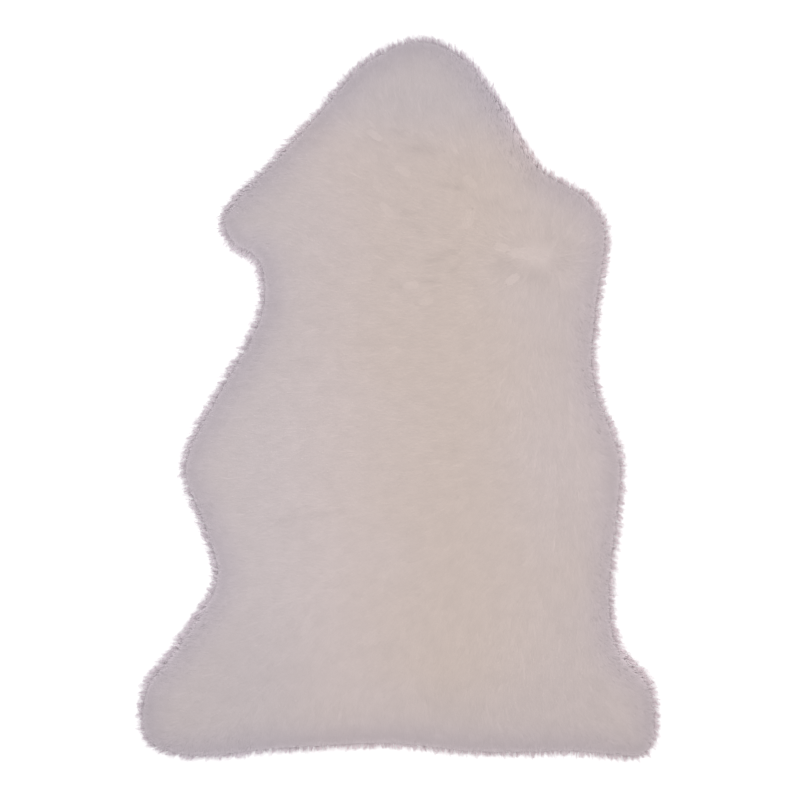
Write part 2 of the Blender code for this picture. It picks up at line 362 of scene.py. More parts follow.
class Pelt:
    """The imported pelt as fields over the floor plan: its height, the depth in from its edge, the way out."""

    def __init__(self, node):
        mesh = node.data
        mesh.calc_loop_triangles()
        places = np.empty(len(mesh.vertices) * 3)
        mesh.vertices.foreach_get("co", places)
        corners = np.empty(len(mesh.loop_triangles) * 3, np.int32)
        mesh.loop_triangles.foreach_get("vertices", corners)
        rounded = np.round(places.reshape(-1, 3), WELD_DIGITS)
        self.points, merged = np.unique(rounded, axis=0, return_inverse=True)
        self.faces = merged.ravel()[corners].reshape(-1, 3)
        self.outline = self._outline()
        self.rim_height = float(self.outline[:, 2].mean())
        self.low = self.points.min(axis=0)[:2] - FIELD_MARGIN
        high = self.points.max(axis=0)[:2] + FIELD_MARGIN
        self.columns, self.rows = (np.ceil((high - self.low) / FIELD_STEP).astype(int) + 1).tolist()
        x = self.low[0] + np.arange(self.columns) * FIELD_STEP
        y = self.low[1] + np.arange(self.rows) * FIELD_STEP
        x, y = np.meshgrid(x, y, indexing="ij")
        self.grid_x, self.grid_y = x.ravel(), y.ravel()
        self.depths = self._depth(x.ravel(), y.ravel()).reshape(x.shape)
        self.heights = self._height(x, y)
        rises = np.gradient(self.heights, FIELD_STEP)
        self.slope_x, self.slope_y = (blurred(rise, SLOPE_BLUR) for rise in rises)
        in_x, in_y = (blurred(field, OUTWARD_BLUR) for field in np.gradient(self.depths, FIELD_STEP))
        self.out_x, self.out_y = unit(-in_x, -in_y)

    def _outline(self):
        """The pelt's widest line, in order: the edge of the faces that look up."""
        a, b, c = (self.points[self.faces[:, k]] for k in (0, 1, 2))
        upward = np.cross(b - a, c - a)[:, 2] > 0
        looking_up = self.faces[upward].tolist()
        edges = dict.fromkeys((face[k], face[(k + 1) % 3]) for face in looking_up for k in (0, 1, 2))
        following = {start: end for start, end in edges if (end, start) not in edges}
        first = next(iter(following))
        loop = [first]
        while following[loop[-1]] != first:
            loop.append(following[loop[-1]])
        return self.points[loop]

    def _depth(self, x, y):
        """Distance in from the outline, below 0 outside it."""
        loop = self.outline[:, :2]
        ends = np.roll(loop, -1, axis=0)
        nearest = np.full(x.shape, np.inf)
        inside = np.zeros(x.shape, bool)
        for (x0, y0), (x1, y1) in zip(loop, ends):
            run_x, run_y = x1 - x0, y1 - y0
            share = ((x - x0) * run_x + (y - y0) * run_y) / (run_x**2 + run_y**2)
            share = np.clip(share, 0.0, 1.0)
            nearest = np.minimum(nearest, np.hypot(x - x0 - share * run_x, y - y0 - share * run_y))
            if y0 != y1:
                crossing = x0 + (y - y0) * run_x / run_y
                inside ^= ((y0 > y) != (y1 > y)) & (x < crossing)
        return np.where(inside, nearest, -nearest)

    def _height(self, x, y):
        """Height of the solid's upper side, which sinks on towards the floor outside the outline."""
        tree = BVHTree.FromPolygons(self.points.tolist(), self.faces.tolist())
        above = float(self.points[:, 2].max()) + FIELD_MARGIN
        down = Vector((0.0, 0.0, -1.0))
        outside = np.clip(-self.depths / SPILL, 0.0, 1.0)
        heights = self.rim_height * np.sqrt(1.0 - outside**2)
        for i, j in np.argwhere(self.depths > 0).tolist():
            hit = tree.ray_cast(Vector((x[i, j], y[i, j], above)), down)[0]
            if hit:
                heights[i, j] = hit.z
        return heights

    def read(self, field, x, y):
        """A field's value at each place. One past the field's end is read just short of it."""
        u = np.clip((x - self.low[0]) / FIELD_STEP, 0.0, self.columns - FIELD_END)
        v = np.clip((y - self.low[1]) / FIELD_STEP, 0.0, self.rows - FIELD_END)
        i, j = u.astype(int), v.astype(int)
        u, v = u - i, v - j
        low = field[i, j] * (1 - u) + field[i + 1, j] * u
        high = field[i, j + 1] * (1 - u) + field[i + 1, j + 1] * u
        return low * (1 - v) + high * v

    def depth(self, x, y):
        return self.read(self.depths, x, y)

    def height(self, x, y):
        return self.read(self.heights, x, y)

    def outward(self, x, y):
        """The direction on the floor plan that leads straight out of the pelt."""
        return unit(self.read(self.out_x, x, y), self.read(self.out_y, x, y))

    def slope(self, x, y):
        """How steeply the wool's surface rises along x and along y."""
        return self.read(self.slope_x, x, y), self.read(self.slope_y, x, y)

    def normal(self, x, y):
        """The direction that the wool's surface faces at each place."""
        slope_x, slope_y = self.slope(x, y)
        return unit_vectors(np.column_stack([-slope_x, -slope_y, np.ones(x.shape)]))

    def seeming_normal(self, x, y):
        """The direction that the wool seems to face: softer than its slope, because light goes through it."""
        slope_x, slope_y = self.slope(x, y)
        softer = 1.0 / np.sqrt(1.0 + (slope_x**2 + slope_y**2) / STEEPEST**2)
        return unit_vectors(np.column_stack([-slope_x * softer, -slope_y * softer, np.ones(x.shape)]))

    def laid(self, x, y, sunk):
        """Points that lie under the wool's surface, this far in from it."""
        return np.column_stack([x, y, self.height(x, y)]) - self.normal(x, y) * np.reshape(sunk, (-1, 1))

    def along_surface(self, x, y, lie_x, lie_y, reach):
        """How far over the floor plan a length reaches when it lies on the surface in this direction."""
        slope_x, slope_y = self.slope(x, y)
        return reach / np.sqrt(1.0 + (slope_x * lie_x + slope_y * lie_y) ** 2)

    def comb(self, x, y):
        """The direction in which the wool lies at each place, as x and y of unit length."""
        lie_x, lie_y = np.zeros(x.shape), np.zeros(x.shape)
        for _, place_x, place_y, degrees in COMB:
            away = ((x - place_x) ** 2 + (y - place_y) ** 2) / COMB_REACH**2
            weight = np.exp(-away) + COMB_SPILL
            along_x, along_y = heading(degrees)
            lie_x += weight * along_x
            lie_y += weight * along_y
        lie_x, lie_y = unit(lie_x, lie_y)
        out_x, out_y = self.outward(x, y)
        share = EDGE_OUTWARD * (1.0 - smooth_step(0.0, TURN_OUT, self.depth(x, y)))
        lie_x = lie_x * (1 - share) + out_x * share
        lie_y = lie_y * (1 - share) + out_y * share
        swirl = sum(turn * soft_noise(x, y, size, seed) for turn, size, seed in SWIRLS)
        return unit(*turned(lie_x, lie_y, swirl))


def parted(x, y):
    """The tone, which is painted shade and painted light, and the lift that the partings and the broad shades
    give to the wool at each place.
    """
    tone, lift = np.zeros(x.shape), np.zeros(x.shape)
    for _, place_x, place_y, length, width, degrees, shade, rise in PARTINGS:
        along_x, along_y = heading(degrees)
        along = (x - place_x) * along_x + (y - place_y) * along_y
        across = (y - place_y) * along_x - (x - place_x) * along_y
        weight = np.exp(-((2 * along / length) ** 4) - (2 * across / width) ** 2)
        tone += weight * shade
        lift += weight * rise
    return tone, lift


# Meshes

def mesh_from_arrays(name, points, triangles, smooth=True):
    mesh = bpy.data.meshes.new(name)
    mesh.vertices.add(len(points))
    mesh.vertices.foreach_set("co", np.ascontiguousarray(points, np.float32).ravel())
    mesh.loops.add(triangles.size)
    mesh.loops.foreach_set("vertex_index", np.ascontiguousarray(triangles, np.int32).ravel())
    mesh.polygons.add(len(triangles))
    mesh.polygons.foreach_set("loop_start", np.arange(0, triangles.size, 3, dtype=np.int32))
    mesh.polygons.foreach_set("use_smooth", np.full(len(triangles), smooth))
    mesh.update(calc_edges=True)
    mesh.validate()
    return mesh


def add_values(mesh, name, values):
    """A number for each point of the mesh, which its material reads by name."""
    attribute = mesh.attributes.new(name, "FLOAT", "POINT")
    attribute.data.foreach_set("value", np.ascontiguousarray(values, np.float32))


def add_fibres(mesh, across, along, seed):
    """Where each point lies among the fine fibres: across them, along them, and a seed for each strand."""
    places = np.column_stack([across * FIBRES, along * FIBRE_WAVES, seed * FIBRE_APART])
    values = mesh.attributes.new("fibre", "FLOAT_VECTOR", "POINT")
    values.data.foreach_set("vector", places.astype(np.float32).ravel())


def add_plan_map(mesh, points):
    """A map of the piece as seen from above, one for all the wool."""
    size = np.array([PELT.columns, PELT.rows]) * FIELD_STEP
    uv = (points[:, :2] - PELT.low) / size
    corners = np.empty(len(mesh.loops), np.int32)
    mesh.loops.foreach_get("vertex_index", corners)
    layer = mesh.uv_layers.new(name="OFBake")
    layer.uv.foreach_set("vector", np.ascontiguousarray(uv[corners], np.float32).ravel())


def add_piece(name, mesh, material):
    piece = bpy.data.objects.new(name, mesh)
    bpy.context.scene.collection.objects.link(piece)
    mesh.materials.append(material)
    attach(piece, BODY)
    return piece


def add_colour_masks(mesh, points, tone, along):
    """The values that the wool's material reads: depth in from the edge, which places the edge's painted shade
    and the rim's painted light; tone; and how far up the strand, which sets the painted root shade.
    """
    x, y = points[:, 0], points[:, 1]
    add_values(mesh, "edge", np.clip(PELT.depth(x, y), 0.0, 1.0))
    add_values(mesh, "tone", tone)
    add_values(mesh, "along", along)


def lean_normals(mesh, points, triangles):
    """Turn the upper faces' normals towards the wool's own surface, because light goes through fine hair."""
    a, b, c = (points[triangles[:, k]] for k in range(3))
    faces = unit_vectors(np.cross(b - a, c - a))
    seeming = PELT.seeming_normal(points[:, 0], points[:, 1])[triangles]
    upward = np.einsum("ik,ijk->ij", faces, seeming)
    share = SOFT_NORMALS * smooth_step(0.0, SOFT_FROM, upward)[..., None]
    own = np.empty(len(points) * 3, np.float32)
    mesh.vertices.foreach_get("normal", own)
    own = own.reshape(-1, 3)[triangles]
    own = np.where(upward[..., None] > 0.0, own, faces[:, None, :])
    normals = unit_vectors(own * (1.0 - share) + seeming * share)
    mesh.normals_split_custom_set(normals.reshape(-1, 3))


def strand_mesh(name, paths, widths, shape, tone):
    """One mesh of closed strands, from paths of strands x points x 3, root first. The ends taper to nothing.

    The shape is how far a strand's crest stands above its middle and its keel below, over its half width.
    """
    count, steps, _ = paths.shape
    rings = steps - 2
    flow = unit_vectors(paths[:, 2:] - paths[:, :-2])
    side = unit_vectors(np.cross(flow, np.array([0.0, 0.0, 1.0])))
    up = np.cross(side, flow)
    crest, keel = shape
    sideways, upwards = np.array([0.0, 1.0, -1.0]), np.array([crest, -keel, -keel])
    radius = widths[:, :, None, None] / 2
    ring = paths[:, 1:-1, None, :] + radius * (
        sideways[None, None, :, None] * side[:, :, None, :] + upwards[None, None, :, None] * up[:, :, None, :]
    )
    points = np.concatenate([paths[:, :1], ring.reshape(count, rings * 3, 3), paths[:, -1:]], axis=1)
    per_strand = rings * 3 + 2
    faces = [(0, 1 + (k + 1) % 3, 1 + k) for k in range(3)]
    for r in range(rings - 1):
        for k in range(3):
            a, b = 1 + 3 * r + k, 1 + 3 * r + (k + 1) % 3
            faces += [(a, b, b + 3), (a, b + 3, a + 3)]
    last = 1 + 3 * (rings - 1)
    faces += [(last + k, last + (k + 1) % 3, per_strand - 1) for k in range(3)]
    triangles = np.array(faces)[None] + (np.arange(count) * per_strand)[:, None, None]
    triangles = triangles.reshape(-1, 3)
    points = points.reshape(-1, 3)
    points[:, 2] = np.maximum(points[:, 2], LEAST_HEIGHT)
    mesh = mesh_from_arrays(name, points, triangles)
    share = np.concatenate([[0.0], np.repeat(np.arange(1, rings + 1) / (rings + 1), 3), [1.0]])
    across = np.concatenate([[0.5], np.tile([0.5, 1.0, 0.0], rings), [0.5]])
    shares, tones = np.tile(share, count), np.repeat(tone, per_strand)
    add_colour_masks(mesh, points, tones, shares)
    add_fibres(mesh, np.tile(across, count), shares, tones)
    add_plan_map(mesh, points)
    lean_normals(mesh, points, triangles)
    return mesh


def add_strands(names, order, paths, widths, tones, shape, material):
    """The strands as pieces of equal numbers, taken in this order."""
    for name, part in zip(names, np.array_split(order, len(names))):
        mesh = strand_mesh(name, paths[part], widths[part], shape, tones[part])
        add_piece(name, mesh, material)


def plan_mesh(inset, step):
    """The pelt's plan, this far in from its edge: (points, triangles, the points of its border in order)."""
    rise = step * math.sqrt(3) / 2
    columns = int(PELT.columns * FIELD_STEP / step)
    rows = int(PELT.rows * FIELD_STEP / rise)
    row, column = np.meshgrid(np.arange(rows), np.arange(columns), indexing="ij")
    x = PELT.low[0] + (column + 0.5 * (row % 2)) * step
    y = PELT.low[1] + row * rise
    points = np.column_stack([x.ravel(), y.ravel()])
    here = (row * columns + column)[:-1, :-1]
    even = (row % 2 == 0)[:-1, :-1]
    right, above, across = here + 1, here + columns, here + columns + 1
    on_even, on_odd = np.stack([here, right, above], -1), np.stack([here, right, across], -1)
    first = np.where(even[..., None], on_even, on_odd)
    on_even, on_odd = np.stack([right, across, above], -1), np.stack([here, across, above], -1)
    second = np.where(even[..., None], on_even, on_odd)
    triangles = np.concatenate([first.reshape(-1, 3), second.reshape(-1, 3)])
    middles = points[triangles].mean(axis=1)
    triangles = triangles[PELT.depth(middles[:, 0], middles[:, 1]) > inset]
    used, renumbered = np.unique(triangles, return_inverse=True)
    points, triangles = points[used], renumbered.reshape(-1, 3)
    border = border_loop(triangles)
    for _ in range(SNAP_ROUNDS):
        at = points[border]
        out_x, out_y = PELT.outward(at[:, 0], at[:, 1])
        short = PELT.depth(at[:, 0], at[:, 1]) - inset
        points[border] = at + np.column_stack([out_x, out_y]) * short[:, None]
    return points, triangles, border


def border_loop(triangles):
    """The longest closed border of a flat mesh, in the order of its faces' edges."""
    edges = np.concatenate([triangles[:, [k, (k + 1) % 3]] for k in range(3)]).tolist()
    known = {tuple(edge) for edge in edges}
    following = {a: b for a, b in known if (b, a) not in known}
    loops = []
    while following:
        first = next(iter(following))
        loop = [first]
        onward = following.pop(first)
        while onward != first:
            loop.append(onward)
            onward = following.pop(onward)
        loops.append(loop)
    return np.array(max(loops, key=len))


def closed_slab(top, top_faces, border, floor_points, floor_faces):
    """A top and an underside joined round their border. The underside's first points match the border's."""
    first = len(top)
    count = len(border)
    following = np.roll(np.arange(count), -1)
    ends = np.roll(border, -1)
    wall = np.concatenate(
        [
            np.column_stack([ends, border, first + np.arange(count)]),
            np.column_stack([ends, first + np.arange(count), first + following]),
        ]
    )
    faces = np.concatenate([top_faces, wall, first + floor_faces[:, ::-1]])
    return np.vstack([top, floor_points]), faces


def filled_border(points, inner):
    """Triangles over the area that a border goes round, through the inner points."""
    count = len(points)
    every = [Vector(p) for p in np.vstack([points, inner])]
    edges = [(i, (i + 1) % count) for i in range(count)]
    _, _, faces, origins, _, _ = delaunay_2d_cdt(every, edges, [], 1, MERGE)
    order = [old[0] for old in origins]
    return np.array([[order[i] for i in face] for face in faces])


# Materials

def new_material(name):
    """A material with its node tree and its shader."""
    material = bpy.data.materials.new(name)
    material.use_nodes = True
    return material, material.node_tree, material.node_tree.nodes["Principled BSDF"]


def set_inputs(made, values):
    for name, value in values.items():
        made.inputs[name].default_value = value


def opaque(colour):
    return (*colour, 1.0)


def node(tree, kind, **values):
    made = tree.nodes.new(kind)
    for key, value in values.items():
        setattr(made, key, value)
    return made


def maths(tree, operation, *values):
    """A Math node on sockets or numbers, and its output."""
    made = node(tree, "ShaderNodeMath", operation=operation)
    for socket, value in zip(made.inputs, values):
        if isinstance(value, (int, float)):
            socket.default_value = value
        else:
            tree.links.new(value, socket)
    return made.outputs[0]


def ramp(tree, value, low, high, to_low=0.0, to_high=1.0):
    """A smooth step of a socket from low to high, and its output."""
    made = node(tree, "ShaderNodeMapRange", interpolation_type="SMOOTHSTEP")
    tree.links.new(value, made.inputs["Value"])
    set_inputs(made, {"From Min": low, "From Max": high, "To Min": to_low, "To Max": to_high})
    return made.outputs["Result"]


def mixed(tree, factor, first, second, blend="MIX"):
    """A mix by a socket of two colours, which are sockets or values, and its output."""
    made = node(tree, "ShaderNodeMix", data_type="RGBA", blend_type=blend)
    tree.links.new(factor, made.inputs["Factor"])
    for name, colour in (("A", first), ("B", second)):
        socket = next(s for s in made.inputs if s.name == name and s.type == "RGBA")
        if isinstance(colour, tuple):
            socket.default_value = colour
        else:
            tree.links.new(colour, socket)
    return next(s for s in made.outputs if s.type == "RGBA")


def noise(tree, place, scale, detail, dimensions="3D"):
    """Noise over the places that a socket gives, and its output."""
    made = node(tree, "ShaderNodeTexNoise", noise_dimensions=dimensions)
    set_inputs(made, {"Scale": scale, "Detail": detail})
    tree.links.new(place, made.inputs["Vector"])
    return made.outputs["Fac"]


def attribute(tree, name, output="Fac"):
    """A value that the mesh holds under this name."""
    return node(tree, "ShaderNodeAttribute", attribute_name=name).outputs[output]


def add_relief(tree, shader, height, depth):
    """Bumps this deep on the shader's surface, from a socket."""
    bump = node(tree, "ShaderNodeBump")
    bump.inputs["Distance"].default_value = depth
    tree.links.new(height, bump.inputs["Height"])
    tree.links.new(bump.outputs["Normal"], shader.inputs["Normal"])


def group_ends(group, colours, numbers):
    """The input and output nodes of a group that takes these colours and numbers and puts out a colour."""
    for kind, names in (("NodeSocketColor", colours), ("NodeSocketFloat", numbers)):
        for name in names:
            group.interface.new_socket(name, in_out="INPUT", socket_type=kind)
    group.interface.new_socket("Color", in_out="OUTPUT", socket_type="NodeSocketColor")
    return group.nodes.new("NodeGroupInput").outputs, group.nodes.new("NodeGroupOutput").inputs


def backbone_mask(group, place, x, y):
    """The warm stripe along the backbone, which wanders and fades out at the neck and the tail."""
    wander = noise(group, place, scale=6.0, detail=2.0, dimensions="2D")
    drift = maths(group, "MULTIPLY_ADD", wander, BACKBONE_WANDER, -BACKBONE_WANDER / 2 - BACKBONE_X)
    across = maths(group, "MULTIPLY_ADD", y, -BACKBONE_SLOPE, maths(group, "ADD", x, drift))
    stripe = ramp(group, maths(group, "ABSOLUTE", across), BACKBONE_HALF_WIDTH, 0.0)
    below_neck, above_tail = ramp(group, y, *NECK_FADE), ramp(group, y, *TAIL_FADE)
    return maths(group, "MULTIPLY", stripe, maths(group, "MULTIPLY", below_neck, above_tail))


def wool_brightness(group, place, inputs):
    """How bright the wool is, over its colour: by its locks' tones, which carry the partings' painted shade
    and painted light, by painted shade down to its roots, and by painted light at the rim.
    """
    blotch = noise(group, place, scale=38.0, detail=3.0, dimensions="2D")
    blotch = maths(group, "MULTIPLY_ADD", blotch, BLOTCH, -BLOTCH / 2)
    tone = maths(group, "MULTIPLY", maths(group, "ADD", attribute(group, "tone"), blotch), inputs["Tone"])
    # Painted shade down to the roots: the wool darkens from its tips towards its roots.
    shade = node(group, "ShaderNodeMapRange")
    group.links.new(attribute(group, "along"), shade.inputs["Value"])
    group.links.new(inputs["Painted Root Shade"], shade.inputs["To Min"])
    value = maths(group, "MULTIPLY", maths(group, "ADD", tone, 1.0), shade.outputs["Result"])
    streak = maths(group, "MULTIPLY_ADD", inputs["Fibre"], FIBRE_TONE, 1.0 - FIBRE_TONE / 2)
    value = maths(group, "MULTIPLY", value, streak)
    # Painted light at the rim: the thin ends are made brighter, for the light through them and against their
    # self-shadow.
    rim = ramp(group, attribute(group, "edge"), RIM_PAINTED_LIGHT_BAND, 0.0)
    lift = maths(group, "MULTIPLY_ADD", maths(group, "POWER", rim, 2.0), RIM_PAINTED_LIGHT, 1.0)
    return maths(group, "MULTIPLY", value, lift)


def wool_colour_group():
    """Wool's colour by its place: warm over the backbone, neutral on the flanks, darker and cooler at the edge
    with painted shade, and cooler on the left with painted cool light and at the neck.
    """
    group = bpy.data.node_groups.get("Wool Colour")
    if group:
        return group
    group = bpy.data.node_groups.new("Wool Colour", "ShaderNodeTree")
    colours = ("Backbone", "Flank", "Shaded Edge", "Cool Tint")
    inputs, outputs = group_ends(group, colours, ("Tone", "Painted Root Shade", "Fibre"))
    place = node(group, "ShaderNodeTexCoord").outputs["Object"]
    apart = node(group, "ShaderNodeSeparateXYZ")
    group.links.new(place, apart.inputs[0])
    x, y = apart.outputs["X"], apart.outputs["Y"]
    # Painted shade: the edge's darker, cooler colour gives way to the flanks'.
    edge = ramp(group, attribute(group, "edge"), 0.0, EDGE_SHADE_BAND)
    colour = mixed(group, edge, inputs["Shaded Edge"], inputs["Flank"])
    colour = mixed(group, backbone_mask(group, place, x, y), colour, inputs["Backbone"])
    # Painted cool light on the left side, and a cool tint over the neck.
    cool = maths(group, "MAXIMUM", ramp(group, x, *LEFT_PAINTED_COOL_LIGHT), ramp(group, y, *NECK_TINT))
    colour = mixed(group, cool, colour, inputs["Cool Tint"], blend="MULTIPLY")
    scaled = node(group, "ShaderNodeVectorMath", operation="SCALE")
    group.links.new(colour, scaled.inputs[0])
    group.links.new(wool_brightness(group, place, inputs), scaled.inputs["Scale"])
    group.links.new(scaled.outputs["Vector"], outputs["Color"])
    return group


def wool_material(name, settings, painted_root_shade, in_strands=True):
    """Soft, almost matt wool, with the pelt's colours from the shared group."""
    material, tree, shader = new_material(name)
    wool = node(tree, "ShaderNodeGroup", node_tree=wool_colour_group())
    look = {
        "Backbone": opaque(settings.backbone),
        "Flank": opaque(settings.flank),
        "Shaded Edge": opaque(settings.edge),
        "Cool Tint": opaque(settings.cool_tint),
        "Tone": settings.tone,
        "Painted Root Shade": painted_root_shade,
    }
    set_inputs(wool, look)
    fibre = noise(tree, attribute(tree, "fibre", "Vector"), scale=1.0, detail=1.0)
    tree.links.new(fibre, wool.inputs["Fibre"])
    tree.links.new(wool.outputs["Color"], shader.inputs["Base Color"])
    set_inputs(shader, {"Roughness": WOOL_ROUGHNESS, "Specular IOR Level": WOOL_GLOSS})
    set_inputs(shader, {"Sheen Weight": settings.sheen, "Sheen Roughness": WOOL_SHEEN_ROUGHNESS})
    if in_strands:
        add_relief(tree, shader, fibre, FIBRE_BUMP)
    return material


def hide_material(settings):
    """Undyed suede: a fine nap with paler and browner patches."""
    material, tree, shader = new_material("suede hide")
    place = node(tree, "ShaderNodeTexCoord").outputs["Object"]
    patches = ramp(tree, noise(tree, place, scale=9.0, detail=5.0), *SUEDE_PATCHES)
    colour = mixed(tree, patches, opaque(settings.colour), opaque(settings.patch))
    tree.links.new(colour, shader.inputs["Base Color"])
    nap = noise(tree, place, scale=900.0, detail=4.0)
    tree.links.new(ramp(tree, nap, *SUEDE_NAP, *SUEDE_ROUGHNESS), shader.inputs["Roughness"])
    add_relief(tree, shader, nap, SUEDE_NAP_DEPTH)
    set_inputs(shader, {"Specular IOR Level": SUEDE_GLOSS, "Sheen Weight": SUEDE_SHEEN})
    return material


# Strands

def scattered_roots(count, margin, rng):
    """About count places spread evenly over the wool, but not in rows, at least margin in from the edge."""
    upright = np.minimum(1.0 / PELT.normal(PELT.grid_x, PELT.grid_y)[:, 2], STEEP_SHARE)
    inside = PELT.depths.ravel() > margin
    step = math.sqrt(float(upright[inside].sum()) * FIELD_STEP**2 / count / STEEP_SHARE)
    columns = int(PELT.columns * FIELD_STEP / step)
    rows = int(PELT.rows * FIELD_STEP / step)
    column, row = np.meshgrid(np.arange(columns), np.arange(rows), indexing="ij")
    x = PELT.low[0] + (column.ravel() + rng.uniform(0.0, 1.0, column.size)) * step
    y = PELT.low[1] + (row.ravel() + rng.uniform(0.0, 1.0, row.size)) * step
    share = np.minimum(1.0 / PELT.normal(x, y)[:, 2], STEEP_SHARE) / STEEP_SHARE
    kept = (PELT.depth(x, y) > margin) & (rng.uniform(0.0, 1.0, x.size) < share)
    return x[kept], y[kept]


def held_in(x, y, least):
    """The places, with those nearer the outside than least moved back in."""
    short = np.maximum(least - PELT.depth(x, y), 0.0)
    out_x, out_y = PELT.outward(x, y)
    return x - out_x * short, y - out_y * short


def combed_strands(settings, rng):
    """The strands over the back: their paths, their tones and the room that each has.

    The room is the share of its length that a strand keeps where the edge cuts it short.
    """
    x, y = scattered_roots(settings.strands, settings.margin, rng)
    lie_x, lie_y = PELT.comb(x, y)
    lock_x, lock_y, _, number = nearest_lock(x, y, settings.lock_size, LOCK_SEED)
    lock_lie_x, lock_lie_y = PELT.comb(lock_x, lock_y)
    count = len(x)
    reach = PELT.along_surface(x, y, lie_x, lie_y, settings.strand_length)
    lock_reach = reach * (LOCK_REACH[0] + LOCK_REACH[1] * number)
    reach = reach * rng.uniform(*STRAND_REACH, count)
    pull = rng.uniform(*LOCK_PULL, count)
    tip_x = (x + lie_x * reach) * (1 - pull) + (lock_x + lock_lie_x * lock_reach) * pull
    tip_y = (y + lie_y * reach) * (1 - pull) + (lock_y + lock_lie_y * lock_reach) * pull
    least = rng.uniform(*settings.ends, count)
    inward = PELT.depth(x, y) - PELT.depth(tip_x, tip_y)
    room = np.clip((PELT.depth(x, y) - least) / np.maximum(inward, LEAST_LENGTH), 0.0, 1.0)
    room = np.where(inward > 0.0, room, 1.0)
    tip_x, tip_y = x + (tip_x - x) * room, y + (tip_y - y) * room
    middle_x = (x + tip_x) / 2 + rng.normal(0.0, MIDDLE_STRAY, count) * room
    middle_y = (y + tip_y) / 2 + rng.normal(0.0, MIDDLE_STRAY, count) * room
    # The partings' painted shade and painted light at the middle, and their dents at the middle and the tip.
    tone, middle_lift = parted(middle_x, middle_y)
    _, tip_lift = parted(tip_x, tip_y)
    paths = np.stack(
        [
            PELT.laid(x, y, settings.root_depth * rng.uniform(*ROOT_DEPTHS, count)),
            PELT.laid(middle_x, middle_y, rng.uniform(*settings.middle_depths, count) - middle_lift),
            PELT.laid(tip_x, tip_y, rng.uniform(*settings.tip_depths, count) - tip_lift),
        ],
        axis=1,
    )
    tones = tone + (number - 0.5) * LOCK_TONES + rng.uniform(-STRAND_TONES, STRAND_TONES, count)
    return paths, tones, room


def laid_lock(lock, rng):
    """The strands of one lock that lies over the wool: their paths, and a tone for each."""
    _, place_x, place_y, length, width, degrees, tone, rise = lock
    count = int(length * width * LAID_DENSITY)
    along_x, along_y = heading(degrees)
    start = rng.uniform(*LAID_STARTS, count)
    reach = rng.uniform(*LAID_REACHES, count)
    across = rng.uniform(-0.5, 0.5, count)
    layer = rng.uniform(*LAID_LAYERS, count)
    points = []
    for share, narrowing, depth in LAID_POINTS:
        u = start + reach * share
        round_off = np.sqrt(np.clip(1.0 - (2.0 * u) ** 2, LAID_ENDS, 1.0))
        v = across * narrowing * round_off
        x = place_x + (along_x * u * length - along_y * v * width)
        y = place_y + (along_y * u * length + along_x * v * width)
        swelling = rise * layer * round_off * (1.0 - (2.0 * across) ** 2)
        points.append(PELT.laid(x, y, depth - swelling * (share > 0.0)))
    return np.stack(points, axis=1), tone + rng.uniform(-LAID_TONES, LAID_TONES, count)


class RimLocks:
    """The pointed locks round the rim, each with a heart on the outline and a tip that its strands run to."""

    def __init__(self, settings, rng):
        self.loop = np.vstack([PELT.outline[:, :2], PELT.outline[:1, :2]])
        steps = np.linalg.norm(np.diff(self.loop, axis=0), axis=1)
        self.along = np.concatenate([[0.0], np.cumsum(steps)])
        self.count = round(self.along[-1] / settings.lock_size)
        self.spacing = self.along[-1] / self.count
        strays = rng.uniform(-HEART_STRAY, HEART_STRAY, self.count)
        self.hearts = (np.arange(self.count) + strays) * self.spacing
        x, y = self.place(self.hearts)
        straying = rng.normal(0.0, settings.straying, self.count)
        self.lie_x, self.lie_y = turned(*PELT.comb(x, y), straying)
        out_x, out_y = PELT.outward(x, y)
        self.facing = np.maximum(self.lie_x * out_x + self.lie_y * out_y, LEAST_FACING)
        self.reach = rng.uniform(*settings.reach_range, self.count) / self.facing
        self.tip_x, self.tip_y = x + self.lie_x * self.reach, y + self.lie_y * self.reach
        self.layer = rng.uniform(*TIP_LAYERS, self.count)

    def place(self, distance):
        """The place on the outline this far round it."""
        return [np.interp(distance % self.along[-1], self.along, self.loop[:, k]) for k in (0, 1)]


def filling_ends(locks, lock, back, layer, settings, rng):
    """Filling strands end short of the outline, and the lowest of them the furthest out."""
    travel = back + rng.uniform(*settings.fill_range, len(lock)) + settings.splay * (1.0 - layer)
    return travel, 0.0, layer


def pointed_ends(locks, lock, back, layer, settings, rng):
    """The strands of a pointed lock run together at its tip."""
    drawn = rng.uniform(*TIP_DRAWN, len(lock))
    layer = np.clip(locks.layer[lock] + rng.normal(0.0, TIP_SCATTER, len(lock)), 0.0, 1.0)
    return back + locks.reach[lock], drawn, layer


def hair_ends(locks, lock, back, layer, settings, rng):
    """Most hairs end near the outline, and a few far out past it."""
    past = settings.hair_reach * rng.uniform(0.0, 1.0, len(lock)) ** HAIR_BIAS / locks.facing[lock]
    return back + past, 0.0, layer


